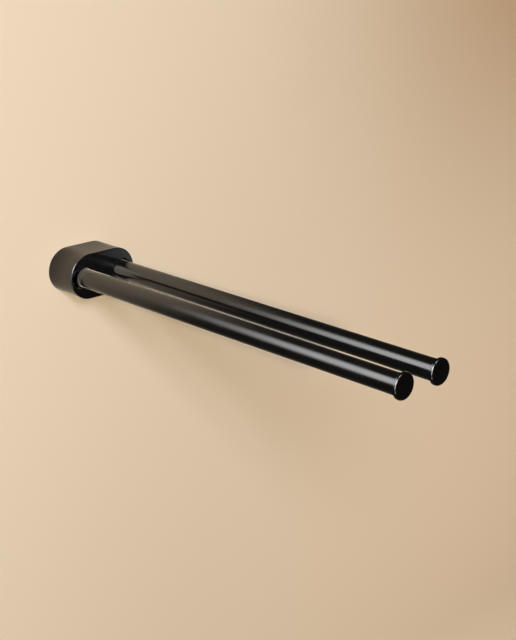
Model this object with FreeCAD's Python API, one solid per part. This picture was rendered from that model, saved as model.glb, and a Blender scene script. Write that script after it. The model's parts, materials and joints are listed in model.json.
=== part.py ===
import FreeCAD, Part
import math
import os

# Swing arm towel bar: two round arms side by side, each on its own vertical hinge bolt inside
# an obround wall housing, with a window in the housing's front face round each arm.
#
# Frame: the origin is on the wall, in the middle of the housing's back. +X runs to the right
# along the wall, +Y into the wall and +Z up, so the arms reach along -Y. Left and right are
# as a person facing the wall sees them. Every size is in millimetres.

# Overall
projection = 445.0              # wall to the end caps' outer faces

# Housing shell
housing_width = 78.0
housing_height = 46.0
housing_depth = 37.5
shell_wall = 2.0
shell_front = 2.0
shell_front_round = 0.8         # outer edge of the front face
window_edge_chamfer = 0.3
window_side_gap = 0.5           # inner end of a window to the arm at rest
window_swing_room = 4.7         # outer end of a window to the arm at rest
window_height_gap = 0.75        # above and below the arm
window_end_land = 0.3           # outer end of a window short of the shell's inner wall

# Arms
tube_diameter = 19.0
tube_wall = 1.5
cap_diameter = 23.4
cap_flange = 3.6
cap_front_round = 1.8           # outer edge of a cap's face
cap_back_chamfer = 0.3
cap_plug_length = 12.0
cap_ring_section = 1.8
root_plug_length = 28.0
plug_lead_chamfer = 0.6

# Hinge
bolt_diameter = 5.0
bolt_head_diameter = 8.5
bolt_head_height = 3.0
bolt_socket_across_flats = 3.0
bolt_socket_depth = 1.8
bolt_end_past_nut = 1.0
bush_wall = 1.5
tongue_height = 11.2            # the flat tongue of an arm's root, between the fork's plates
tongue_width = 11.2
thrust_washer_thickness = 1.0
fork_plate_thickness = 3.0
fork_eye_wall = 2.2
fork_foot_width = 18.0
fork_foot_height = 26.0
fork_foot_thickness = 4.0
fork_foot_corner = 2.0
fork_plate_root_width = 15.0
spring_washer_thickness = 0.45
spring_washer_height = 1.0
spring_washer_diameter = 10.0
nut_across_flats = 8.0
nut_height = 5.0
nut_chamfer = 0.6

# Wall plate and its fasteners
wall_plate_thickness = 3.0
wall_hole_diameter = 5.4
wall_hole_spacing = 24.0        # one hole above the other
lug_width = 14.0
lug_length = 10.0
lug_thickness = 1.5
lug_to_shell = 2.5
fork_screw_diameter = 4.0
fork_screw_head_diameter = 7.6
fork_screw_head_height = 2.0
fork_screw_spacing = 10.0
fork_screw_end_gap = 0.5        # screw tip short of the fork foot's front
fork_screw_socket_across_flats = 2.5
fork_screw_socket_depth = 1.2
set_screw_diameter = 4.0
set_screw_inset = 0.3           # below the shell's outer face
set_screw_socket_across_flats = 2.0
set_screw_socket_depth = 1.8
set_screw_boss_wall = 2.5
set_screw_boss_height = 1.8

# Named clearances
seat_gap = 0.05                 # radial, pieces pressed or screwed into each other
running_gap = 0.05              # radial, bush on hinge bolt
thrust_gap = 0.1                # tongue to thrust washer
plate_gap = 0.3                 # wall plate's edge to the shell
eye_to_shell_gap = 0.3          # fork's eye to the inside of the shell's front
tube_to_eye_gap = 0.6           # tube's end to the fork's eye, as the arm swings
window_stop_gap = 0.35          # arm to the outer end of its window at full swing

# Worked out from the sizes above
tube_radius = tube_diameter / 2
tube_bore = tube_radius - tube_wall
bolt_radius = bolt_diameter / 2
eye_radius = bolt_radius + fork_eye_wall
bush_radius = bolt_radius + running_gap + bush_wall
pivot_setback = shell_front + eye_to_shell_gap + eye_radius
pivot_y = -(housing_depth - pivot_setback)
tube_back_y = pivot_y - eye_radius - tube_to_eye_gap
cap_back_y = -(projection - cap_flange)
fork_gap_half = tongue_height / 2 + thrust_gap + thrust_washer_thickness
fork_half_height = fork_gap_half + fork_plate_thickness
plate_front_y = -wall_plate_thickness
foot_front_y = plate_front_y - fork_foot_thickness
shell_inner_half_height = housing_height / 2 - shell_wall
shell_inner_half_width = housing_width / 2 - shell_wall
window_outer_end = shell_inner_half_width - window_end_land
arm_x = window_outer_end - window_swing_room - tube_radius
lug_outer_z = -(shell_inner_half_height - lug_to_shell)
set_screw_y = plate_front_y - lug_length / 2
hex_corner = 2 / math.sqrt(3)   # a hexagon's corner distance over its across flats
sides = (("left", -1), ("right", 1))


def vector(x, y, z):
    return FreeCAD.Vector(x, y, z)


def along_y(radius, x, z, y_from, y_to):
    """A round bar parallel to Y."""
    return Part.makeCylinder(radius, y_from - y_to, vector(x, y_from, z), vector(0, -1, 0))


def along_z(radius, x, y, z_from, z_to):
    """A round bar parallel to Z."""
    return Part.makeCylinder(radius, z_to - z_from, vector(x, y, z_from), vector(0, 0, 1))


def obround(width, height, x, y_from, y_to):
    """An obround block, long along X, extruded along -Y."""
    radius = height / 2
    straight = width / 2 - radius
    top_left = vector(x - straight, y_from, radius)
    top_right = vector(x + straight, y_from, radius)
    low_left = vector(x - straight, y_from, -radius)
    low_right = vector(x + straight, y_from, -radius)
    edges = [
        Part.LineSegment(top_left, top_right).toShape(),
        Part.Arc(top_right, vector(x + width / 2, y_from, 0), low_right).toShape(),
        Part.LineSegment(low_right, low_left).toShape(),
        Part.Arc(low_left, vector(x - width / 2, y_from, 0), top_left).toShape(),
    ]
    return Part.Face(Part.Wire(edges)).extrude(vector(0, y_to - y_from, 0))


def hexagon(across_flats, centre, direction, length):
    """A hexagonal bar that starts at centre and runs along direction."""
    face = Part.Face(Part.makePolygon(hexagon_points(across_flats, centre, direction)))
    return face.extrude(direction * length)


def hexagon_points(across_flats, centre, direction):
    side = vector(1, 0, 0) if abs(direction.x) < 0.5 else vector(0, 1, 0)
    up = direction.cross(side)
    reach = across_flats * hex_corner / 2
    points = []
    for corner in range(7):
        turn = math.radians(60 * corner)
        points.append(centre + side * (reach * math.cos(turn)) + up * (reach * math.sin(turn)))
    return points


def edges_at(shape, test):
    """The edges of shape whose every vertex passes the test."""
    return [edge for edge in shape.Edges if all(test(vertex.Point) for vertex in edge.Vertexes)]


def edges_along_y(shape):
    return [edge for edge in shape.Edges
            if near(edge.Vertexes[0].X, edge.Vertexes[-1].X)
            and near(edge.Vertexes[0].Z, edge.Vertexes[-1].Z)]


def near(value, target):
    return abs(value - target) < 0.001


def save(name, shape):
    shape = shape.removeSplitter()
    if not shape.isValid():
        raise ValueError(name + " isn't a valid solid")
    shape.exportStep("parts/" + name + ".step")
    print("%-22s %d solid(s) %10.1f mm3" % (name, len(shape.Solids), shape.Volume))


# ---- housing ----

def window(side):
    """The cut round one arm: close to the arm on its inner side, nearly out to the wall."""
    height = tube_diameter + 2 * window_height_gap
    inner_end = arm_x - tube_radius - window_side_gap
    width = window_outer_end - inner_end
    middle = side * (inner_end + width / 2)
    return obround(width, height, middle, -housing_depth + shell_front, -housing_depth)


def housing_shell():
    shell = obround(housing_width, housing_height, 0, 0, -housing_depth)
    front_edges = edges_at(shell, lambda p: near(p.y, -housing_depth))
    shell = shell.makeFillet(shell_front_round, front_edges)
    cavity = obround(2 * shell_inner_half_width, 2 * shell_inner_half_height, 0,
                     0, -housing_depth + shell_front)
    shell = shell.cut(cavity)
    for name, side in sides:
        shell = shell.cut(window(side))
    rims = edges_at(shell, lambda p: near(p.y, -housing_depth)
                    and abs(p.z) <= tube_radius + window_height_gap + 0.001)
    shell = shell.makeChamfer(window_edge_chamfer, rims)
    return with_set_screw_boss(shell)


def with_set_screw_boss(shell):
    """A boss inside the shell's underside, with the threaded hole for the set screw."""
    hole_radius = set_screw_diameter / 2 + seat_gap
    boss = along_z(hole_radius + set_screw_boss_wall, 0, set_screw_y,
                   -shell_inner_half_height - shell_wall / 2,
                   -shell_inner_half_height + set_screw_boss_height)
    hole = along_z(hole_radius, 0, set_screw_y, -housing_height, 0)
    return shell.fuse(boss).cut(hole)


def shell_set_screw():
    tip_z = lug_outer_z
    back_z = -housing_height / 2 + set_screw_inset
    screw = along_z(set_screw_diameter / 2, 0, set_screw_y, back_z, tip_z)
    socket = hexagon(set_screw_socket_across_flats, vector(0, set_screw_y, back_z),
                     vector(0, 0, 1), set_screw_socket_depth)
    return screw.cut(socket)


# ---- wall plate ----

def fork_screw_places():
    return [(side * arm_x + shift * fork_screw_spacing / 2)
            for name, side in sides for shift in (-1, 1)]


def fork_screw_solid(x, gap):
    """A countersunk screw, or its hole when gap is more than nothing."""
    head = Part.makeCone(fork_screw_head_diameter / 2 + gap, fork_screw_diameter / 2 + gap,
                         fork_screw_head_height, vector(x, 0, 0), vector(0, -1, 0))
    tip_y = foot_front_y + fork_screw_end_gap
    return head.fuse(along_y(fork_screw_diameter / 2 + gap, x, 0, 0, tip_y))


def wall_plate():
    width = 2 * (shell_inner_half_width - plate_gap)
    height = 2 * (shell_inner_half_height - plate_gap)
    plate = obround(width, height, 0, 0, plate_front_y)
    lug = Part.makeBox(lug_width, lug_length + wall_plate_thickness / 2, lug_thickness,
                       vector(-lug_width / 2, plate_front_y - lug_length, lug_outer_z))
    plate = plate.fuse(lug)
    for z in (-wall_hole_spacing / 2, wall_hole_spacing / 2):
        plate = plate.cut(along_y(wall_hole_diameter / 2, 0, z, 0, plate_front_y))
    for x in fork_screw_places():
        plate = plate.cut(fork_screw_solid(x, seat_gap))
    return plate


def fork_screws():
    screws = []
    for x in fork_screw_places():
        socket = hexagon(fork_screw_socket_across_flats, vector(x, 0, 0),
                         vector(0, -1, 0), fork_screw_socket_depth)
        screws.append(fork_screw_solid(x, 0).cut(socket))
    return Part.makeCompound(screws)


# ---- hinge ----

def fork(side):
    """The foot on the wall plate and the two plates that hold an arm's hinge bolt."""
    x = side * arm_x
    foot = Part.makeBox(fork_foot_width, fork_foot_thickness, fork_foot_height,
                        vector(x - fork_foot_width / 2, foot_front_y, -fork_foot_height / 2))
    body = foot.makeFillet(fork_foot_corner, edges_along_y(foot))
    for z in (fork_gap_half, -fork_half_height):
        body = body.fuse(fork_plate(x, z))
    body = body.cut(along_z(bolt_radius + seat_gap, x, pivot_y,
                            -fork_half_height, fork_half_height))
    for shift in (-1, 1):
        hole_x = x + shift * fork_screw_spacing / 2
        body = body.cut(along_y(fork_screw_diameter / 2 + seat_gap, hole_x, 0,
                                plate_front_y, foot_front_y))
    return body


def fork_plate(x, z):
    root_y = foot_front_y + fork_foot_thickness / 2
    outline = Part.makePolygon([
        vector(x - fork_plate_root_width / 2, root_y, z),
        vector(x + fork_plate_root_width / 2, root_y, z),
        vector(x + eye_radius, pivot_y, z),
        vector(x - eye_radius, pivot_y, z),
        vector(x - fork_plate_root_width / 2, root_y, z),
    ])
    plate = Part.Face(outline).extrude(vector(0, 0, fork_plate_thickness))
    return plate.fuse(along_z(eye_radius, x, pivot_y, z, z + fork_plate_thickness))


def pivot_bolt(side):
    """Head below the fork, end above the nut."""
    x = side * arm_x
    head_z = -fork_half_height - bolt_head_height
    end_z = fork_half_height + spring_washer_height + nut_height + bolt_end_past_nut
    bolt = along_z(bolt_radius, x, pivot_y, head_z, end_z)
    bolt = bolt.fuse(along_z(bolt_head_diameter / 2, x, pivot_y, head_z, -fork_half_height))
    socket = hexagon(bolt_socket_across_flats, vector(x, pivot_y, head_z),
                     vector(0, 0, 1), bolt_socket_depth)
    return bolt.cut(socket)


def spring_washer(side):
    """A cone washer: its outer edge sits on the fork and its inner edge carries the nut."""
    x = side * arm_x
    inner = bolt_radius + seat_gap
    outer = spring_washer_diameter / 2
    low = fork_half_height
    high = low + spring_washer_height
    outline = Part.makePolygon([
        vector(x + outer, pivot_y, low),
        vector(x + outer, pivot_y, low + spring_washer_thickness),
        vector(x + inner, pivot_y, high),
        vector(x + inner, pivot_y, high - spring_washer_thickness),
        vector(x + outer, pivot_y, low),
    ])
    return Part.Face(outline).revolve(vector(x, pivot_y, 0), vector(0, 0, 1), 360)


def pivot_nut(side):
    x = side * arm_x
    low = fork_half_height + spring_washer_height
    nut = hexagon(nut_across_flats, vector(x, pivot_y, low), vector(0, 0, 1), nut_height)
    rounding = along_z(nut_across_flats * hex_corner / 2, x, pivot_y, low, low + nut_height)
    for z in (low, low + nut_height):
        rounding = rounding.makeChamfer(nut_chamfer, edges_at(rounding, lambda p: near(p.z, z)))
    nut = nut.common(rounding)
    return nut.cut(along_z(bolt_radius + seat_gap, x, pivot_y, low, low + nut_height))


def thrust_washer(side, low):
    x = side * arm_x
    washer = along_z(eye_radius, x, pivot_y, low, low + thrust_washer_thickness)
    return washer.cut(along_z(bolt_radius + seat_gap, x, pivot_y,
                              low, low + thrust_washer_thickness))


def pivot_bush(side):
    x = side * arm_x
    bush = along_z(bush_radius, x, pivot_y, -tongue_height / 2, tongue_height / 2)
    return bush.cut(along_z(bolt_radius + running_gap, x, pivot_y,
                            -tongue_height / 2, tongue_height / 2))


# ---- arms ----

def arm_root(side):
    """The plug inside the tube's wall end, with the flat tongue that the bolt goes through."""
    x = side * arm_x
    plug_end_y = tube_back_y - root_plug_length
    plug = along_y(tube_bore - seat_gap, x, 0, tube_back_y, plug_end_y)
    plug = plug.makeChamfer(plug_lead_chamfer, edges_at(plug, lambda p: near(p.y, plug_end_y)))
    tongue = Part.makeBox(tongue_width, pivot_y - tube_back_y, tongue_height,
                          vector(x - tongue_width / 2, tube_back_y, -tongue_height / 2))
    heel = along_z(tongue_width / 2, x, pivot_y, -tongue_height / 2, tongue_height / 2)
    root = plug.fuse([tongue, heel])
    return root.cut(along_z(bush_radius + seat_gap, x, pivot_y,
                            -tongue_height / 2, tongue_height / 2))


def arm_tube(side):
    x = side * arm_x
    tube = along_y(tube_radius, x, 0, tube_back_y, cap_back_y)
    return tube.cut(along_y(tube_bore, x, 0, tube_back_y, cap_back_y))


def cap_ring_y():
    return cap_back_y + cap_plug_length / 2


def end_cap(side):
    """A flange larger than the tube, and a plug with a groove for the rubber ring."""
    x = side * arm_x
    flange = along_y(cap_diameter / 2, x, 0, cap_back_y, -projection)
    flange = flange.makeFillet(cap_front_round,
                               edges_at(flange, lambda p: near(p.y, -projection)))
    flange = flange.makeChamfer(cap_back_chamfer,
                                edges_at(flange, lambda p: near(p.y, cap_back_y)))
    plug_end_y = cap_back_y + cap_plug_length
    plug = along_y(tube_bore - seat_gap, x, 0, plug_end_y, cap_back_y)
    plug = plug.makeChamfer(plug_lead_chamfer, edges_at(plug, lambda p: near(p.y, plug_end_y)))
    half_groove = cap_ring_section / 2 + seat_gap
    groove = along_y(tube_bore, x, 0, cap_ring_y() + half_groove, cap_ring_y() - half_groove)
    core = along_y(cap_ring_radius() - half_groove, x, 0,
                   cap_ring_y() + half_groove, cap_ring_y() - half_groove)
    return flange.fuse(plug).cut(groove.cut(core))


def cap_ring_radius():
    """The rubber ring's middle line, a seat gap inside the tube's bore."""
    return tube_bore - seat_gap - cap_ring_section / 2


def cap_ring(side):
    x = side * arm_x
    return Part.makeTorus(cap_ring_radius(), cap_ring_section / 2,
                          vector(x, cap_ring_y(), 0), vector(0, 1, 0))


# ---- report and write ----

def swing_limit():
    """The largest whole angle that keeps the stop gap at the window's outer end."""
    room = window_outer_end - arm_x - window_stop_gap
    angle = 0
    while angle < 90:
        turn = math.radians(angle + 1)
        if pivot_setback * math.tan(turn) + tube_radius / math.cos(turn) > room:
            break
        angle += 1
    return angle


def main():
    os.makedirs("parts", exist_ok=True)
    save("housing_shell", housing_shell())
    save("wall_plate", wall_plate())
    save("fork_screws", fork_screws())
    save("shell_set_screw", shell_set_screw())
    for name, side in sides:
        save(name + "_fork", fork(side))
        save(name + "_pivot_bolt", pivot_bolt(side))
        save(name + "_pivot_nut", pivot_nut(side))
        save(name + "_spring_washer", spring_washer(side))
        save(name + "_upper_washer", thrust_washer(side, tongue_height / 2 + thrust_gap))
        save(name + "_lower_washer", thrust_washer(side, -fork_gap_half))
        save(name + "_arm_tube", arm_tube(side))
        save(name + "_arm_root", arm_root(side))
        save(name + "_pivot_bush", pivot_bush(side))
        save(name + "_end_cap", end_cap(side))
        save(name + "_cap_ring", cap_ring(side))
    print("hinge axes at x = +-%.2f, y = %.2f mm" % (arm_x, pivot_y))
    print("swing limit %d degrees each way out" % swing_limit())


main()
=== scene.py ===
import json
import math

import bmesh
import bpy
from bpy.props import FloatProperty, FloatVectorProperty, IntProperty, PointerProperty
from bpy.types import Operator, Panel, PropertyGroup
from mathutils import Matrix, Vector


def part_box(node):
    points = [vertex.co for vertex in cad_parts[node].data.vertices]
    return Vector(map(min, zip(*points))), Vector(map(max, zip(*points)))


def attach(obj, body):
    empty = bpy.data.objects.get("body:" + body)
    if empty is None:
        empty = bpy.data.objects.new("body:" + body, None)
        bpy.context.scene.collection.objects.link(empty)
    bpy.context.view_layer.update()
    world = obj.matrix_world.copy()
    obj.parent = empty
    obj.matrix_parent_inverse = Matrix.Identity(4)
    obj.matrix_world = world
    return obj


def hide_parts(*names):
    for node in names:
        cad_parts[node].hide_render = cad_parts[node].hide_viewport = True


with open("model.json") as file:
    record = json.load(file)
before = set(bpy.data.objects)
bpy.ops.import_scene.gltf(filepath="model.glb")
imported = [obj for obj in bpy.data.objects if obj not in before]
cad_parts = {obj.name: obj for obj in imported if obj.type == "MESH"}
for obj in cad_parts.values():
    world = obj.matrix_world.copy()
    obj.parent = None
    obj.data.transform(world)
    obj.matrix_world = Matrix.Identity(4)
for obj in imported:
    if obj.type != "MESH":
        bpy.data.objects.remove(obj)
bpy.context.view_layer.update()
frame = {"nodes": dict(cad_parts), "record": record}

bl_info = {
    "name": "Swing Arm Towel Bar",
    "version": (1, 0, 0),
    "blender": (4, 5, 0),
    "location": "View3D > Sidebar > Towel Bar",
    "description": "Dresses and lights a wall-mounted towel bar with two swinging arms",
    "category": "Add Mesh",
}

SIDES = ("left", "right")
HINGE_PIECES = {
    "fork": "cast_zinc",
    "pivot_bolt": "fastener_steel",
    "pivot_nut": "fastener_steel",
    "spring_washer": "fastener_steel",
    "upper_washer": "glide_plastic",
    "lower_washer": "glide_plastic",
    "arm_root": "turned_brass",
    "pivot_bush": "glide_plastic",
    "cap_ring": "seal_rubber",
}
SHARP_CORNER = math.radians(35)       # corners wider than this can be softened
SHADING_BREAK = math.radians(40)      # shading runs smoothly over flatter corners than this
SAME_PLACE = 1e-5
MERGE_REACH = 1e-6
FINE_STEPS = 3                        # steps across a small softened edge
HIDDEN_STEPS = 2                      # steps across an edge that is mostly out of sight
HOLE_STEPS = 24                       # steps in each half circle of the wall's hidden hole
COVE_STEPS = 16
SPREAD_TONES = (0.3, 0.7)             # where most of a noise's values lie

# Fixed places of the stage, in the part's own frame
WALL_GAP = 0.0003                     # the wall stands this far behind the housing's back
FACE_GAP = 0.0004                     # the faint glow floats this far off the housing's front
MIRRORED_SPOT = (-0.03, 0, 0.08)      # the coating mirrors only the wall round here
PAINTED_SHADE_SPOT = (0.85, 0, 0.3)          # middle of the painted shade that darkens the wall's upper right, where less light falls
PAINTED_LIGHT_SPOT = (0.85, 0, -0.5)          # middle of the painted light that lightens the wall's lower right, where more light falls
HOUSING = (0, 0, 0)
ARM_TIPS = (0, -0.45, 0)
GLOW_CENTRE = (-0.6, -0.02, 0.41)
GLOW_SIZE = (1.1, 1.1)
GLOW_OVAL = (0.58, 1, 0.4)            # half its length and half its width; flat, so 1 deep
GLOW_TILT = math.radians(34.3)
SURROUND_SEEN = (0.72, 0.6, 0.47)
SURROUND_MIRRORED = (0.015, 0.0145, 0.014)
BLACK = (0, 0, 0)


def slot_colour(slot):
    """The record's colour for a material slot."""
    return next(tuple(row["base_color"]) for row in frame["record"]["materials"]
                if row["slot"] == slot)


# ---- settings ----

def length(name, text, default):
    return FloatProperty(name=name, description=text, default=default, min=0,
                         unit="LENGTH", precision=5)


def share(name, text, default):
    return FloatProperty(name=name, description=text, default=default, min=0, max=1,
                         subtype="FACTOR")


def colour(name, text, default):
    return FloatVectorProperty(name=name, description=text, default=default, min=0, max=1,
                               size=3, subtype="COLOR")


def count(name, text, default):
    return IntProperty(name=name, description=text, default=default, min=1)


def power(name, text, default):
    return FloatProperty(name=name, description=text, default=default, min=0, unit="POWER")


def place(name, text, default):
    return FloatVectorProperty(name=name, description=text, default=default, size=3,
                               subtype="TRANSLATION")


class CoverSettings(PropertyGroup):
    wall: length("Wall", "Thickness of the cover's walls and front", 0.002)
    front_round: length("Front Round", "Radius of the front face's outer edge", 0.0008)
    back_round: length("Back Round", "Radius of the edges at the wall and the screw's hole", 0.0004)
    window_side_gap: length("Side Gap", "Inner end of a window to the bar at rest", 0.0005)
    window_swing_room: length("Swing Room", "Outer end of a window to the bar at rest", 0.0047)
    window_height_gap: length("Height Gap", "Window's edge above and below the bar", 0.00075)
    window_round: length("Window Round", "Softened edge of a window", 0.0003)
    boss_wall: length("Boss Wall", "Metal round the set screw's hole", 0.0025)
    boss_height: length("Boss Height", "How far the set screw's boss stands into the cover", 0.0018)
    screw_gap: length("Screw Gap", "Set screw to its hole, on the radius", 0.00005)
    arc_steps: count("Arc Steps", "Steps in each half circle of the outline", 48)
    round_steps: count("Round Steps", "Steps across a rounded edge", 5)


class BarSettings(PropertyGroup):
    wall: length("Wall", "Thickness of the tube", 0.0015)
    end_round: length("End Round", "Softened edges of the tube's ends", 0.0002)
    around_steps: count("Around Steps", "Steps round the bar", 128)


class CapSettings(PropertyGroup):
    front_round: length("Front Round", "Radius of the outer edge of the cap's face", 0.0018)
    back_chamfer: length("Back Chamfer", "Slope behind the flange", 0.0003)
    edge_round: length("Edge Round", "Softening of the flange's back edges", 0.00012)
    plug_gap: length("Plug Gap", "Cap's plug to the tube's bore", 0.00005)
    plug_lead: length("Plug Lead", "Slope at the plug's inner end", 0.0006)
    around_steps: count("Around Steps", "Steps round the cap", 128)
    round_steps: count("Round Steps", "Steps across the rounded edge", 9)


class FinishSettings(PropertyGroup):
    coating: colour("Coating", "Satin black coating", (0.0022, 0.0021, 0.002))
    coating_roughness: share("Coating Roughness", "How soft the coating's reflections are", 0.2)
    coating_sheen: share("Coating Sheen", "Pale light picked up where the coating turns away",
                         0.26)
    sheen_colour: colour("Sheen Colour", "Tint of the coating's sheen", (1.0, 0.9, 0.75))
    coating_ripple: length("Coating Ripple", "Width of the coating's faint ripple", 0.0022)
    coating_grain: length("Coating Grain", "Width of the coating's powder grain", 0.0004)
    zinc_plate: colour("Zinc Plate", "Plated sheet steel", slot_colour("zinc_steel"))
    steel: colour("Steel", "Black oxide steel of the bolts, nuts, washers and screws",
                  slot_colour("fastener_steel"))
    cast_zinc: colour("Cast Zinc", "Blackened casting of the forks", slot_colour("cast_zinc"))
    brass: colour("Brass", "Blackened brass of the arms' roots", slot_colour("turned_brass"))
    plastic: colour("Plastic", "Black acetal of the washers and bushes",
                    slot_colour("glide_plastic"))
    rubber: colour("Rubber", "Rings that hold the end caps", slot_colour("seal_rubber"))


class StageSettings(PropertyGroup):
    wall_colour: colour("Wall Colour", "Plain painted wall and floor", (0.66, 0.52, 0.38))
    # painted shade: a darker wall colour at the upper right, where less light falls
    painted_shade_colour: colour("Painted Shade Colour", "Deeper tone of the wall at the upper right",
                        (0.478, 0.305, 0.174))
    # painted light: a lighter wall colour at the lower right, where more light falls
    painted_light_colour: colour("Painted Light Colour", "Lighter tone of the wall at the lower right",
                       (0.845, 0.624, 0.456))
    floor_drop: length("Floor Drop", "Floor below the towel bar's middle", 1.0)
    half_width: length("Half Width", "Reach of the wall to each side", 4.0)
    wall_height: length("Wall Height", "Top of the wall above the towel bar's middle", 2.5)
    floor_reach: length("Floor Reach", "Floor's reach from the wall", 4.0)
    cove: length("Cove", "Radius where the wall runs into the floor", 0.3)
    key_power: power("Key Power", "Cool light from the upper left, which throws the shadow", 22.5)
    fill_power: power("Fill Power", "Warm light from behind the camera", 285.0)
    glow_power: power("Glow Power", "Glow beside the arms, mirrored in the bars", 17.0)
    card_power: power("Card Power", "Dim card in front, mirrored in the housing's front", 0.02)
    face_power: power("Face Power", "Faint glow on the housing's front, mirrored in the bars",
                      0.0034)
    shine_power: power("Shine Power", "Bright panel on the left, mirrored in rounded edges", 10.5)
    panel_power: power("Panel Power", "Dim panel on the left, mirrored in the caps' flanges", 2.7)
    above_power: power("Above Power", "Dim panel overhead, mirrored in the caps' upper edges", 1.2)
    below_power: power("Below Power", "Dim panel low down, mirrored in the caps' lower edges", 0.45)
    back_power: power("Back Power", "Soft light behind the wall, for views from there", 60.0)
    camera_place: place("Camera Place", "Where the picture is taken from",
                        (-0.7665, -1.0437, 0.3752))
    camera_yaw: FloatProperty(name="Camera Yaw",
                              description="Turn from straight at the wall to the right",
                              default=math.radians(44.31), subtype="ANGLE")
    camera_pitch: FloatProperty(name="Camera Pitch", description="Tilt of the camera below level",
                                default=math.radians(18.68), subtype="ANGLE")
    camera_lens: FloatProperty(name="Camera Lens",
                               description="Focal length in millimetres on a 36 mm sensor",
                               default=73.9, min=1, unit="CAMERA")


class TowelBarSettings(PropertyGroup):
    cover: PointerProperty(type=CoverSettings)
    bar: PointerProperty(type=BarSettings)
    cap: PointerProperty(type=CapSettings)
    finish: PointerProperty(type=FinishSettings)
    stage: PointerProperty(type=StageSettings)


# ---- shader nodes ----

def add_node(tree, kind, settings=None, inputs=None):
    """A node with its settings, and its inputs set to a value or joined to a socket."""
    node = tree.nodes.new(kind)
    node.location = (len(tree.nodes) * 190, 0)
    for name, value in (settings or {}).items():
        setattr(node, name, value)
    for name, value in (inputs or {}).items():
        if isinstance(value, bpy.types.NodeSocket):
            tree.links.new(value, node.inputs[name])
        else:
            node.inputs[name].default_value = value
    return node


def maths(tree, operation, first, second=0.0):
    node = add_node(tree, "ShaderNodeMath", {"operation": operation}, {0: first, 1: second})
    return node.outputs[0]


def remap(tree, value, low, high, to_low, to_high):
    node = add_node(tree, "ShaderNodeMapRange", {"interpolation_type": "SMOOTHSTEP"},
                    {"Value": value, "From Min": low, "From Max": high,
                     "To Min": to_low, "To Max": to_high})
    return node.outputs["Result"]


def blend_colour(tree, factor, first, second):
    node = add_node(tree, "ShaderNodeMix", {"data_type": "RGBA"}, {"Factor": factor})
    for socket, value in zip((node.inputs[6], node.inputs[7]), (first, second)):
        if isinstance(value, bpy.types.NodeSocket):
            tree.links.new(value, socket)
        else:
            socket.default_value = (*value, 1)
    return node.outputs[2]


def noise(tree, vector, size, detail=2.0, distortion=0.0):
    """Cloudy noise whose blotches are about size wide."""
    linked = isinstance(size, bpy.types.NodeSocket)
    scale = maths(tree, "DIVIDE", 1.0, size) if linked else 1 / size
    node = add_node(tree, "ShaderNodeTexNoise", None,
                    {"Vector": vector, "Scale": scale, "Detail": detail, "Distortion": distortion})
    return node.outputs["Fac"]


def object_point(tree):
    return add_node(tree, "ShaderNodeTexCoord").outputs["Object"]


def shader_group(name, inputs, outputs, fill):
    """A node group made once, with number sockets; fill(tree, entry) returns its output sockets."""
    tree = bpy.data.node_groups.get(name)
    if tree:
        return tree
    tree = bpy.data.node_groups.new(name, "ShaderNodeTree")
    for label, default in inputs.items():
        socket = tree.interface.new_socket(label, in_out="INPUT", socket_type="NodeSocketFloat")
        socket.default_value = default
    for label in outputs:
        tree.interface.new_socket(label, in_out="OUTPUT", socket_type="NodeSocketFloat")
    entry = tree.nodes.new("NodeGroupInput")
    results = fill(tree, entry.outputs)
    add_node(tree, "NodeGroupOutput", None, dict(zip(outputs, results)))
    return tree


def use_group(tree, group, inputs):
    return add_node(tree, "ShaderNodeGroup", {"node_tree": group}, inputs)


def surface_grain():
    """Ripple and grain of a sprayed, cast or moulded surface."""
    def fill(tree, entry):
        point = object_point(tree)
        ripple = noise(tree, point, entry["Ripple Size"], 2.0)
        grain = noise(tree, point, entry["Grain Size"], 1.0)
        weighted = maths(tree, "MULTIPLY", grain, entry["Grain Share"])
        rest = maths(tree, "SUBTRACT", 1.0, entry["Grain Share"])
        height = maths(tree, "ADD", weighted, maths(tree, "MULTIPLY", ripple, rest))
        return height, ripple
    return shader_group("surface grain",
                        {"Ripple Size": 0.002, "Grain Size": 0.0004, "Grain Share": 0.4},
                        ("Height", "Tone"), fill)


def handling_marks():
    """Wide, faint patches where hands and cloths have wiped a surface."""
    def fill(tree, entry):
        cloud = noise(tree, object_point(tree), entry["Patch Size"], 4.0, 0.6)
        return (remap(tree, cloud, 0.38, 0.66, 0.0, 1.0),)
    return shader_group("handling marks", {"Patch Size": 0.03}, ("Patches",), fill)


def worn_edges():
    """A mask of the outer edges, from how far a rounded normal leans from the flat one."""
    def fill(tree, entry):
        rounded = add_node(tree, "ShaderNodeBevel", {"samples": 6}, {"Radius": entry["Width"]})
        flat = add_node(tree, "ShaderNodeNewGeometry").outputs["Normal"]
        dot = add_node(tree, "ShaderNodeVectorMath", {"operation": "DOT_PRODUCT"},
                       {0: rounded.outputs["Normal"], 1: flat}).outputs["Value"]
        lean = maths(tree, "SUBTRACT", 1.0, dot)
        broken = noise(tree, object_point(tree), 0.0015, 3.0)
        edge = remap(tree, lean, 0.02, 0.25, 0.0, 1.0)
        return (maths(tree, "MULTIPLY", edge, broken),)
    return shader_group("worn edges", {"Width": 0.0004}, ("Edges",), fill)


def tool_lines():
    """Fine lines left by rolling, drawing or turning, packed along one direction."""
    def fill(tree, entry):
        direction = add_node(tree, "ShaderNodeCombineXYZ", None,
                             {"X": entry["Along X"], "Y": entry["Along Y"], "Z": entry["Along Z"]})
        squeezed = add_node(tree, "ShaderNodeVectorMath", {"operation": "MULTIPLY"},
                            {0: object_point(tree), 1: direction.outputs[0]}).outputs[0]
        lines = noise(tree, squeezed, entry["Line Width"], 3.0)
        return lines, remap(tree, lines, 0.35, 0.65, 0.0, 1.0)
    return shader_group("tool lines",
                        {"Along X": 0.05, "Along Y": 1.0, "Along Z": 0.05, "Line Width": 0.0004},
                        ("Height", "Tone"), fill)


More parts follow.
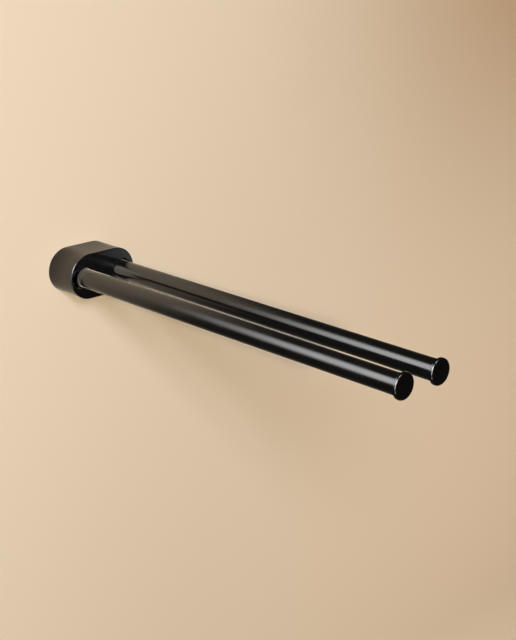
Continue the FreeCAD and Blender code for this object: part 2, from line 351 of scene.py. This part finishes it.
def new_material(name, metallic=0.0, ior=1.5):
    material = bpy.data.materials.new(name)
    material.use_nodes = True
    shader = material.node_tree.nodes["Principled BSDF"]
    shader.inputs["Metallic"].default_value = metallic
    shader.inputs["IOR"].default_value = ior
    return material, material.node_tree, shader


def scaled(colour_value, factor):
    return tuple(min(1.0, part * factor) for part in colour_value)


def set_patchy_colour(tree, shader, patches, base, factor):
    """The base colour, times factor where the patches are."""
    tone = blend_colour(tree, patches, base, scaled(base, factor))
    tree.links.new(tone, shader.inputs["Base Color"])


def set_roughness(tree, shader, tone, smooth, rough, tones=(0.0, 1.0)):
    """Roughness that goes from smooth to rough over a range of tones."""
    tree.links.new(remap(tree, tone, *tones, smooth, rough), shader.inputs["Roughness"])


def set_bump(tree, shader, height, depth, strength):
    bump = add_node(tree, "ShaderNodeBump", None,
                    {"Height": height, "Distance": depth, "Strength": strength})
    tree.links.new(bump.outputs["Normal"], shader.inputs["Normal"])


# ---- finishes ----

def black_coating(finish):
    """Satin black coating: faint ripple and grain, wiped patches, edges a little lighter."""
    material, tree, shader = new_material("satin black coating", 0.0, 1.75)
    grain = use_group(tree, surface_grain(), {"Ripple Size": finish.coating_ripple,
                                              "Grain Size": finish.coating_grain,
                                              "Grain Share": 0.35})
    patches = use_group(tree, handling_marks(), {"Patch Size": 0.035}).outputs["Patches"]
    edges = use_group(tree, worn_edges(), {"Width": 0.0005}).outputs["Edges"]
    tone = blend_colour(tree, grain.outputs["Tone"],
                        scaled(finish.coating, 0.85), scaled(finish.coating, 1.15))
    tone = blend_colour(tree, edges, tone, scaled(finish.coating, 2.2))
    tree.links.new(tone, shader.inputs["Base Color"])
    rough = finish.coating_roughness
    set_roughness(tree, shader, patches, rough - 0.02, rough + 0.03)
    shader.inputs["Sheen Weight"].default_value = finish.coating_sheen
    shader.inputs["Sheen Roughness"].default_value = 0.25
    shader.inputs["Sheen Tint"].default_value = (*finish.sheen_colour, 1)
    set_bump(tree, shader, grain.outputs["Height"], 0.00001, 0.35)
    return material


def zinc_steel(finish):
    """Rolled sheet steel with bright zinc plating and its cloudy film."""
    material, tree, shader = new_material("zinc plated steel", 1.0)
    lines = use_group(tree, tool_lines(), {"Along X": 0.04, "Along Y": 1.0, "Along Z": 1.0,
                                           "Line Width": 0.0005})
    film = use_group(tree, handling_marks(), {"Patch Size": 0.012}).outputs["Patches"]
    set_patchy_colour(tree, shader, film, finish.zinc_plate, 0.82)
    set_roughness(tree, shader, lines.outputs["Tone"], 0.28, 0.42)
    set_bump(tree, shader, lines.outputs["Height"], 0.00001, 0.5)
    return material


def fastener_steel(finish):
    """Black oxide steel of bolts, nuts, washers and screws: turned, with oil in patches."""
    material, tree, shader = new_material("black oxide steel", 1.0)
    lines = use_group(tree, tool_lines(), {"Along X": 0.1, "Along Y": 0.1, "Along Z": 1.0,
                                           "Line Width": 0.00025})
    oil = use_group(tree, handling_marks(), {"Patch Size": 0.004}).outputs["Patches"]
    set_patchy_colour(tree, shader, oil, finish.steel, 0.7)
    set_roughness(tree, shader, lines.outputs["Tone"], 0.3, 0.45)
    set_bump(tree, shader, lines.outputs["Height"], 0.00001, 0.4)
    return material


def cast_zinc(finish):
    """Blackened die casting: pebbled skin and dull blotches."""
    material, tree, shader = new_material("blackened cast zinc", 1.0)
    grain = use_group(tree, surface_grain(), {"Ripple Size": 0.0012, "Grain Size": 0.0003,
                                              "Grain Share": 0.5})
    dull = use_group(tree, handling_marks(), {"Patch Size": 0.006}).outputs["Patches"]
    set_patchy_colour(tree, shader, dull, finish.cast_zinc, 0.75)
    set_roughness(tree, shader, grain.outputs["Tone"], 0.45, 0.6, SPREAD_TONES)
    set_bump(tree, shader, grain.outputs["Height"], 0.00006, 0.6)
    return material


def turned_brass(finish):
    """Lathe-turned, blackened brass: rings along the arm and duller patches."""
    material, tree, shader = new_material("blackened brass", 1.0)
    rings = use_group(tree, tool_lines(), {"Along X": 0.02, "Along Y": 1.0, "Along Z": 0.02,
                                           "Line Width": 0.0003})
    dull = use_group(tree, handling_marks(), {"Patch Size": 0.008}).outputs["Patches"]
    set_patchy_colour(tree, shader, dull, finish.brass, 0.7)
    set_roughness(tree, shader, rings.outputs["Tone"], 0.22, 0.38)
    set_bump(tree, shader, rings.outputs["Height"], 0.00002, 0.5)
    return material


def glide_plastic(finish):
    """Black acetal: smooth, with a faint moulded grain."""
    material, tree, shader = new_material("black acetal", 0.0, 1.48)
    grain = use_group(tree, surface_grain(), {"Ripple Size": 0.003, "Grain Size": 0.0002,
                                              "Grain Share": 0.3})
    set_patchy_colour(tree, shader, grain.outputs["Tone"], finish.plastic, 0.92)
    set_roughness(tree, shader, grain.outputs["Tone"], 0.32, 0.42, SPREAD_TONES)
    shader.inputs["Subsurface Weight"].default_value = 0.2
    shader.inputs["Subsurface Scale"].default_value = 0.001
    set_bump(tree, shader, grain.outputs["Height"], 0.00001, 0.4)
    return material


def seal_rubber(finish):
    """Matt black rubber with a dusty bloom."""
    material, tree, shader = new_material("seal rubber", 0.0, 1.52)
    grain = use_group(tree, surface_grain(), {"Ripple Size": 0.0008, "Grain Size": 0.00015,
                                              "Grain Share": 0.5})
    bloom = use_group(tree, handling_marks(), {"Patch Size": 0.003}).outputs["Patches"]
    set_patchy_colour(tree, shader, bloom, finish.rubber, 2.5)
    set_roughness(tree, shader, grain.outputs["Tone"], 0.6, 0.75, SPREAD_TONES)
    set_bump(tree, shader, grain.outputs["Height"], 0.00002, 0.5)
    return material


FINISHES = {
    "black_coating": black_coating,
    "zinc_steel": zinc_steel,
    "fastener_steel": fastener_steel,
    "cast_zinc": cast_zinc,
    "turned_brass": turned_brass,
    "glide_plastic": glide_plastic,
    "seal_rubber": seal_rubber,
}
made_finishes = {}


def finish_for(slot, settings):
    """The material of a slot, made the first time that a piece asks for it."""
    if slot not in made_finishes:
        made_finishes[slot] = FINISHES[slot](settings.finish)
    return made_finishes[slot]


def dress_node(name, slot, settings):
    """Gives a CAD node, which keeps its shape, the finish of its slot."""
    mesh = frame["nodes"][name].data
    mesh.materials.clear()
    mesh.materials.append(finish_for(slot, settings))


# ---- shapes ----

def verts_in(geometry):
    return [part for part in geometry if isinstance(part, bmesh.types.BMVert)]


def obround(width, height, x, y_back, y_front, steps):
    """A block with an obround outline, long along X, from y_back forward to y_front."""
    bm = bmesh.new()
    radius = height / 2
    straight = width / 2 - radius
    ends = []
    for side in (1, -1):
        centre = Vector((x + side * straight, y_back, 0))
        start = bm.verts.new(centre + Vector((0, 0, side * radius)))
        turned = bmesh.ops.spin(bm, geom=[start], cent=centre, axis=(0, 1, 0), angle=math.pi,
                                steps=steps)
        ends.append((start, turned["geom_last"][0]))
    bm.edges.new((ends[0][1], ends[1][0]))
    bm.edges.new((ends[1][1], ends[0][0]))
    outline = bmesh.ops.contextual_create(bm, geom=bm.edges[:])["faces"]
    moved = bmesh.ops.extrude_face_region(bm, geom=outline)["geom"]
    bmesh.ops.translate(bm, verts=verts_in(moved), vec=(0, y_front - y_back, 0))
    bmesh.ops.recalc_face_normals(bm, faces=bm.faces[:])
    return bm


def upright_rod(radius, x, y, z_low, z_high, steps):
    """A round rod along Z."""
    bm = bmesh.new()
    disc = bmesh.ops.create_circle(bm, cap_ends=True, segments=steps, radius=radius)
    bmesh.ops.translate(bm, verts=disc["verts"], vec=(x, y, z_low))
    moved = bmesh.ops.extrude_face_region(bm, geom=bm.faces[:])["geom"]
    bmesh.ops.translate(bm, verts=verts_in(moved), vec=(0, 0, z_high - z_low))
    bmesh.ops.recalc_face_normals(bm, faces=bm.faces[:])
    return bm


def loose_object(name, bm):
    """An object that holds a bmesh, which is freed."""
    mesh = bpy.data.meshes.new(name)
    bm.to_mesh(mesh)
    bm.free()
    holder = bpy.data.objects.new(name, mesh)
    bpy.context.scene.collection.objects.link(holder)
    return holder


def combined(base, steps):
    """base joined with or cut by each (operation, shape) in turn, as one bmesh."""
    helpers = [loose_object("base", base)]
    for operation, shape in steps:
        tool = loose_object("tool", shape)
        modifier = helpers[0].modifiers.new(operation, "BOOLEAN")
        modifier.operation = operation
        modifier.solver = "EXACT"
        modifier.object = tool
        helpers.append(tool)
    depsgraph = bpy.context.evaluated_depsgraph_get()
    mesh = bpy.data.meshes.new_from_object(helpers[0].evaluated_get(depsgraph))
    bm = bmesh.new()
    bm.from_mesh(mesh)
    bpy.data.meshes.remove(mesh)
    for helper in helpers:
        bpy.data.meshes.remove(helper.data)
    return bm


def turned_piece(outline, x, steps):
    """An outline of (radius, y) points spun round an arm's own line, which runs along Y."""
    bm = bmesh.new()
    points = [bm.verts.new((x + radius, y, 0)) for radius, y in outline]
    edges = [bm.edges.new(pair) for pair in zip(points, points[1:])]
    if outline[0][0] > 0:
        edges.append(bm.edges.new((points[-1], points[0])))
    bmesh.ops.spin(bm, geom=points + edges, cent=(x, 0, 0), axis=(0, 1, 0), angle=2 * math.pi,
                   steps=steps, use_merge=True)
    bmesh.ops.remove_doubles(bm, verts=bm.verts[:], dist=MERGE_REACH)
    bmesh.ops.recalc_face_normals(bm, faces=bm.faces[:])
    return bm


def near(value, target):
    return abs(value - target) < SAME_PLACE


def corner_edges(bm, test):
    """The edges with a sharp corner whose both ends pass the test."""
    return [edge for edge in bm.edges
            if edge.is_manifold and edge.calc_face_angle() > SHARP_CORNER
            and all(test(vert.co) for vert in edge.verts)]


def soften(bm, edges, radius, steps):
    if not edges:
        raise RuntimeError("no edge to soften was found")
    bmesh.ops.bevel(bm, geom=edges, offset=radius, offset_type="OFFSET", affect="EDGES",
                    segments=steps, profile=0.5, material=-1)


def finish_piece(name, bm, body, slot, settings, node):
    """Turns a bmesh into a piece that stands for a CAD node and moves with its body."""
    piece = loose_object(name, bm)
    piece.data.shade_smooth()
    piece.data.set_sharp_from_angle(angle=SHADING_BREAK)
    piece.data.materials.append(finish_for(slot, settings))
    weighted = piece.modifiers.new("even shading", "WEIGHTED_NORMAL")
    weighted.keep_sharp = True
    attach(piece, body)
    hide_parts(node)


# ---- pieces ----

def arm_x(side):
    low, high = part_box(side + "_arm_tube")
    return (low.x + high.x) / 2


def window_cutter(side, cover, front_y):
    """The opening round one bar: close to it on the inner side, with room to swing on the outer."""
    low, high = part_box(side + "_arm_tube")
    x = arm_x(side)
    outwards = math.copysign(1, x)
    radius = (high.x - low.x) / 2
    inner = x - outwards * (radius + cover.window_side_gap)
    outer = x + outwards * (radius + cover.window_swing_room)
    height = 2 * (radius + cover.window_height_gap)
    return obround(abs(outer - inner), height, (inner + outer) / 2, front_y + 2 * cover.wall,
                   front_y - cover.wall, cover.arc_steps)


def build_cover(settings):
    cover = settings.cover
    low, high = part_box("housing_shell")
    width, height, front_y = high.x - low.x, high.z - low.z, low.y
    shell = obround(width, height, 0, 0, front_y, cover.arc_steps)
    soften(shell, corner_edges(shell, lambda p: near(p.y, front_y)), cover.front_round,
           cover.round_steps)
    cavity = obround(width - 2 * cover.wall, height - 2 * cover.wall, 0, cover.wall,
                     front_y + cover.wall, cover.arc_steps)
    screw_low, screw_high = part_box("shell_set_screw")
    screw = (screw_low + screw_high) / 2
    hole = (screw_high.x - screw_low.x) / 2 + cover.screw_gap
    inner_floor = low.z + cover.wall
    boss = upright_rod(hole + cover.boss_wall, screw.x, screw.y, inner_floor - cover.wall / 2,
                       inner_floor + cover.boss_height, cover.arc_steps)
    bore = upright_rod(hole, screw.x, screw.y, low.z - cover.wall, 0, cover.arc_steps)
    windows = [("DIFFERENCE", window_cutter(side, cover, front_y)) for side in SIDES]
    shell = combined(shell, [("DIFFERENCE", cavity), *windows, ("UNION", boss),
                             ("DIFFERENCE", bore)])
    soften(shell, corner_edges(shell, lambda p: near(p.y, front_y)), cover.window_round, FINE_STEPS)
    soften(shell, corner_edges(shell, lambda p: near(p.y, high.y)), cover.back_round, HIDDEN_STEPS)
    hole_edges = corner_edges(shell, lambda p: near(p.z, low.z) and
                              math.hypot(p.x - screw.x, p.y - screw.y) < hole + cover.wall)
    soften(shell, hole_edges, cover.back_round, HIDDEN_STEPS)
    finish_piece("housing_cover", shell, "wall_housing", "black_coating", settings, "housing_shell")


def build_bar(side, settings):
    bar = settings.bar
    low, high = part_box(side + "_arm_tube")
    outer = (high.x - low.x) / 2
    bore = outer - bar.wall
    tube = turned_piece([(outer, low.y), (outer, high.y), (bore, high.y), (bore, low.y)],
                        arm_x(side), bar.around_steps)
    soften(tube, corner_edges(tube, lambda p: near(p.y, low.y) or near(p.y, high.y)),
           bar.end_round, FINE_STEPS)
    finish_piece(side + "_bar", tube, side + "_arm", "black_coating", settings, side + "_arm_tube")


def build_cap(side, settings):
    cap, bar = settings.cap, settings.bar
    low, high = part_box(side + "_end_cap")
    tube_low, tube_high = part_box(side + "_arm_tube")
    ring_low, ring_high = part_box(side + "_cap_ring")
    front, back, plug_end = low.y, tube_low.y, high.y
    flange = (high.x - low.x) / 2
    bore = (tube_high.x - tube_low.x) / 2 - bar.wall
    plug = bore - cap.plug_gap
    groove = bore - (ring_high.y - ring_low.y) - 2 * cap.plug_gap
    outline = [
        (0, front),
        (flange, front),
        (flange, back - cap.back_chamfer),
        (flange - cap.back_chamfer, back),
        (plug, back),
        (plug, ring_low.y - cap.plug_gap),
        (groove, ring_low.y - cap.plug_gap),
        (groove, ring_high.y + cap.plug_gap),
        (plug, ring_high.y + cap.plug_gap),
        (plug, plug_end - cap.plug_lead),
        (plug - cap.plug_lead, plug_end),
        (0, plug_end),
    ]
    body = turned_piece(outline, arm_x(side), cap.around_steps)
    soften(body, corner_edges(body, lambda p: near(p.y, front)), cap.front_round, cap.round_steps)
    back_edges = corner_edges(
        body, lambda p: near(p.y, back - cap.back_chamfer) or
        (near(p.y, back) and math.hypot(p.x - arm_x(side), p.z) > plug + cap.plug_gap))
    soften(body, back_edges, cap.edge_round, FINE_STEPS)
    finish_piece(side + "_bar_cap", body, side + "_arm", "black_coating", settings,
                 side + "_end_cap")


# ---- stage ----

def backdrop_material(stage):
    """Plain paint, seen from the front only, with painted shade at its upper right and painted
    light at its lower right. It throws little light back, and the coating mirrors only what is near
    the housing, with painted contact shade right round it."""
    material, tree, shader = new_material("backdrop paint")
    path = add_node(tree, "ShaderNodeLightPath")
    geometry = add_node(tree, "ShaderNodeNewGeometry")

    def fade(centre, low, high, to_low, to_high):
        reach = add_node(tree, "ShaderNodeVectorMath", {"operation": "DISTANCE"},
                         {0: geometry.outputs["Position"], 1: centre}).outputs["Value"]
        return remap(tree, reach, low, high, to_low, to_high)

    far = fade(MIRRORED_SPOT, 0.02, 0.3, 0.0, 0.97)
    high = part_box("housing_shell")[1]
    spot = add_node(tree, "ShaderNodeSeparateXYZ", None,
                    {"Vector": geometry.outputs["Position"]}).outputs
    beyond = maths(tree, "MAXIMUM", maths(tree, "SUBTRACT", maths(tree, "ABSOLUTE", spot["X"]),
                                          high.x - high.z), 0.0)
    outline = maths(tree, "SQRT", maths(tree, "ADD", maths(tree, "POWER", beyond, 2.0),
                                        maths(tree, "POWER", spot["Z"], 2.0)))
    # painted contact shade: the wall that the coating mirrors is darkened right round the housing's
    # outline
    painted_contact_shade = remap(tree, outline, high.z, high.z + 0.03, 0.55, 0.0)
    unseen = maths(tree, "MULTIPLY", maths(tree, "MAXIMUM", far, painted_contact_shade),
                   path.outputs["Is Glossy Ray"])
    hidden = maths(tree, "ADD", unseen,
                   maths(tree, "MULTIPLY", path.outputs["Is Diffuse Ray"], 0.9))
    cloud = noise(tree, geometry.outputs["Position"], 0.5, 2.0)
    paint = blend_colour(tree, cloud, scaled(stage.wall_colour, 0.985),
                         scaled(stage.wall_colour, 1.015))
    # painted shade at the wall's upper right and painted light at its lower right
    paint = blend_colour(tree, fade(PAINTED_SHADE_SPOT, 0.0, 0.65, 1.0, 0.0), paint,
                         tuple(stage.painted_shade_colour))
    paint = blend_colour(tree, fade(PAINTED_LIGHT_SPOT, 0.0, 0.9, 1.0, 0.0), paint,
                         tuple(stage.painted_light_colour))
    tree.links.new(blend_colour(tree, hidden, paint, BLACK), shader.inputs["Base Color"])
    shader.inputs["Roughness"].default_value = 0.9
    shader.inputs["Specular IOR Level"].default_value = 0.1
    clear = add_node(tree, "ShaderNodeBsdfTransparent")
    front_only = add_node(tree, "ShaderNodeMixShader", None,
                          {0: geometry.outputs["Backfacing"], 1: shader.outputs[0],
                           2: clear.outputs[0]})
    tree.links.new(front_only.outputs[0], tree.nodes["Material Output"].inputs["Surface"])
    return material


def build_backdrop(stage):
    """The wall, with a hole hidden behind the housing, run into the floor by a cove."""
    bm = bmesh.new()
    foot = stage.cove - stage.floor_drop
    corners = [bm.verts.new((x, WALL_GAP, z)) for x, z in (
        (-stage.half_width, stage.wall_height), (stage.half_width, stage.wall_height),
        (stage.half_width, foot), (-stage.half_width, foot))]
    frame_edges = [bm.edges.new(pair) for pair in zip(corners, corners[1:] + corners[:1])]
    low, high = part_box("wall_plate")
    hole = obround(high.x - low.x, high.z - low.z, 0, WALL_GAP, WALL_GAP - 1, HOLE_STEPS)
    rim = [edge for edge in hole.edges if all(near(vert.co.y, WALL_GAP) for vert in edge.verts)]
    copies = {}
    for edge in rim:
        for vert in edge.verts:
            if vert not in copies:
                copies[vert] = bm.verts.new(vert.co)
    rim_edges = [bm.edges.new([copies[vert] for vert in edge.verts]) for edge in rim]
    hole.free()
    bmesh.ops.triangle_fill(bm, use_beauty=True, use_dissolve=False, edges=frame_edges + rim_edges)
    bend = bmesh.ops.spin(bm, geom=[corners[2], corners[3], frame_edges[2]],
                          cent=(0, WALL_GAP - stage.cove, foot), axis=(1, 0, 0),
                          angle=-math.pi / 2, steps=COVE_STEPS)["geom_last"]
    edge = [part for part in bend if isinstance(part, bmesh.types.BMEdge)]
    out = bmesh.ops.extrude_edge_only(bm, edges=edge)["geom"]
    bmesh.ops.translate(bm, verts=verts_in(out), vec=(0, -stage.floor_reach, 0))
    bmesh.ops.recalc_face_normals(bm, faces=bm.faces[:])
    large_wall_face = next(face for face in bm.faces if face.calc_area() > 0.1)
    if large_wall_face.normal.y > 0.5:
        bmesh.ops.reverse_faces(bm, faces=bm.faces[:])
    backdrop = loose_object("backdrop", bm)
    backdrop.data.shade_smooth()
    backdrop.data.materials.append(backdrop_material(stage))


def soft_light(name, place_at, aim, size, watts, tint=(1, 1, 1), diffuse=True, glossy=True,
               spread=180):
    """An oval area light that isn't itself in the picture, with its spread in degrees."""
    light = bpy.data.lights.new(name, "AREA")
    light.shape = "ELLIPSE"
    light.size, light.size_y = size
    light.energy = watts
    light.color = tint
    light.spread = math.radians(spread)
    lamp = bpy.data.objects.new(name, light)
    lamp.location = place_at
    lamp.rotation_euler = (Vector(aim) - Vector(place_at)).to_track_quat("-Z", "Y").to_euler()
    lamp.visible_camera = False
    lamp.visible_diffuse = diffuse
    lamp.visible_glossy = glossy
    bpy.context.scene.collection.objects.link(lamp)
    return light


def mirrored_light(name, place_at, aim, size, watts, tint=(1, 1, 1), spread=180):
    """A light that shows only in reflections."""
    return soft_light(name, place_at, aim, size, watts, tint, diffuse=False, spread=spread)


def side_glow(watts):
    """A glow flat on the wall beside the arms, with soft edges, seen only in reflections."""
    aim = (GLOW_CENTRE[0], -1, GLOW_CENTRE[2])
    light = mirrored_light("side glow", GLOW_CENTRE, aim, GLOW_SIZE, watts)
    light.shape = "RECTANGLE"
    light.use_nodes = True
    tree = light.node_tree
    place_on_wall = add_node(tree, "ShaderNodeNewGeometry").outputs["Position"]
    oval = add_node(tree, "ShaderNodeMapping", {"vector_type": "TEXTURE"},
                    {"Vector": place_on_wall, "Location": GLOW_CENTRE,
                     "Rotation": (0, GLOW_TILT, 0), "Scale": GLOW_OVAL})
    reach = add_node(tree, "ShaderNodeVectorMath", {"operation": "LENGTH"},
                     {0: oval.outputs["Vector"]}).outputs["Value"]
    tree.links.new(remap(tree, reach, 0.43, 1.0, 1.0, 0.0),
                   tree.nodes["Emission"].inputs["Strength"])


def build_world():
    """The room beyond the backdrop: pale in the picture, dark in reflections."""
    world = bpy.data.worlds.new("studio")
    world.use_nodes = True
    tree = world.node_tree
    path = add_node(tree, "ShaderNodeLightPath")
    seen = maths(tree, "ADD", path.outputs["Is Camera Ray"],
                 maths(tree, "MULTIPLY", path.outputs["Is Diffuse Ray"], 0.05))
    tone = blend_colour(tree, seen, SURROUND_MIRRORED, SURROUND_SEEN)
    tree.links.new(tone, tree.nodes["Background"].inputs["Color"])
    bpy.context.scene.world = world


def build_camera(stage):
    lens = bpy.data.cameras.new("camera")
    lens.lens = stage.camera_lens
    lens.sensor_width = 36
    lens.clip_start, lens.clip_end = 0.01, 50
    camera = bpy.data.objects.new("camera", lens)
    camera.location = stage.camera_place
    camera.rotation_euler = (math.pi / 2 - stage.camera_pitch, 0, -stage.camera_yaw)
    bpy.context.scene.collection.objects.link(camera)
    bpy.context.scene.camera = camera


def build_stage(stage):
    build_camera(stage)
    build_backdrop(stage)
    build_world()
    soft_light("key", (-1.0, -1.5, 0.8), HOUSING, (0.45, 0.45), stage.key_power,
               tint=(0.87, 1.0, 1.28), glossy=False)
    soft_light("fill", (-3.2, -4.4, 1.57), HOUSING, (0.4, 0.4), stage.fill_power,
               tint=(1.05, 1.0, 0.81), glossy=False)
    mirrored_light("shine", (-0.96, -0.5, 0.66), HOUSING, (1.1, 1.1), stage.shine_power, spread=70)
    mirrored_light("cap panel", (-0.75, -0.75, 0.0), ARM_TIPS, (0.8, 2.0), stage.panel_power,
                   spread=50)
    mirrored_light("upper cap panel", (-0.05, -0.65, 0.95), ARM_TIPS, (1.2, 1.2),
                   stage.above_power, spread=40)
    mirrored_light("lower cap panel", (-0.65, -0.9, -0.63), ARM_TIPS, (1.2, 1.2),
                   stage.below_power, spread=30)
    mirrored_light("front card", (0.33, -0.375, -0.09), (0.03, -0.0375, 0.01), (0.08, 0.08),
                   stage.card_power)
    front_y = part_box("housing_shell")[0].y - FACE_GAP
    mirrored_light("face glow", (-0.012, front_y, 0.004), (-0.012, -1, 0.004), (0.05, 0.036),
                   stage.face_power, tint=(1.0, 0.87, 0.68))
    side_glow(stage.glow_power)
    soft_light("back", (0.4, 1.6, 0.9), HOUSING, (1.0, 1.0), stage.back_power)
    bpy.context.scene.view_settings.view_transform = "Standard"


# ---- operators ----

class TOWEL_BAR_OT_add_cover(Operator):
    """Add the obround housing cover with a swing window round each bar"""
    bl_idname = "towel_bar.add_cover"
    bl_label = "Housing Cover"

    def execute(self, context):
        build_cover(context.scene.towel_bar)
        return {"FINISHED"}


class TOWEL_BAR_OT_add_bars(Operator):
    """Add the two round bars"""
    bl_idname = "towel_bar.add_bars"
    bl_label = "Bars"

    def execute(self, context):
        for side in SIDES:
            build_bar(side, context.scene.towel_bar)
        return {"FINISHED"}


class TOWEL_BAR_OT_add_caps(Operator):
    """Add the flanged caps at the bars' tips"""
    bl_idname = "towel_bar.add_caps"
    bl_label = "End Caps"

    def execute(self, context):
        for side in SIDES:
            build_cap(side, context.scene.towel_bar)
        return {"FINISHED"}


class TOWEL_BAR_OT_finish_hinges(Operator):
    """Give the forks, bolts, nuts, washers, bushes, roots and rings their finishes"""
    bl_idname = "towel_bar.finish_hinges"
    bl_label = "Hinge Finishes"

    def execute(self, context):
        for side in SIDES:
            for piece, slot in HINGE_PIECES.items():
                dress_node(side + "_" + piece, slot, context.scene.towel_bar)
        return {"FINISHED"}


class TOWEL_BAR_OT_finish_fixings(Operator):
    """Give the wall plate and the housing's screws their finishes"""
    bl_idname = "towel_bar.finish_fixings"
    bl_label = "Wall Plate Finishes"

    def execute(self, context):
        settings = context.scene.towel_bar
        dress_node("wall_plate", "zinc_steel", settings)
        dress_node("fork_screws", "fastener_steel", settings)
        dress_node("shell_set_screw", "fastener_steel", settings)
        return {"FINISHED"}


class TOWEL_BAR_OT_add_stage(Operator):
    """Add the wall, floor, lights and camera"""
    bl_idname = "towel_bar.add_stage"
    bl_label = "Stage"

    def execute(self, context):
        build_stage(context.scene.towel_bar.stage)
        return {"FINISHED"}


OPERATORS = (TOWEL_BAR_OT_add_stage, TOWEL_BAR_OT_add_cover, TOWEL_BAR_OT_add_bars,
             TOWEL_BAR_OT_add_caps, TOWEL_BAR_OT_finish_hinges, TOWEL_BAR_OT_finish_fixings)


class VIEW3D_PT_towel_bar(Panel):
    """Buttons for the towel bar's pieces and stage"""
    bl_label = "Towel Bar"
    bl_space_type = "VIEW_3D"
    bl_region_type = "UI"
    bl_category = "Towel Bar"

    def draw(self, context):
        for operator in OPERATORS:
            self.layout.operator(operator.bl_idname)


CLASSES = (CoverSettings, BarSettings, CapSettings, FinishSettings, StageSettings, TowelBarSettings,
           *OPERATORS, VIEW3D_PT_towel_bar)


def register():
    for item in CLASSES:
        bpy.utils.register_class(item)
    bpy.types.Scene.towel_bar = PointerProperty(type=TowelBarSettings)


def unregister():
    del bpy.types.Scene.towel_bar
    for item in reversed(CLASSES):
        bpy.utils.unregister_class(item)


def main():
    register()
    bpy.ops.towel_bar.add_stage()
    bpy.ops.towel_bar.add_cover()
    bpy.ops.towel_bar.add_bars()
    bpy.ops.towel_bar.add_caps()
    bpy.ops.towel_bar.finish_hinges()
    bpy.ops.towel_bar.finish_fixings()


if __name__ == "__main__":
    main()
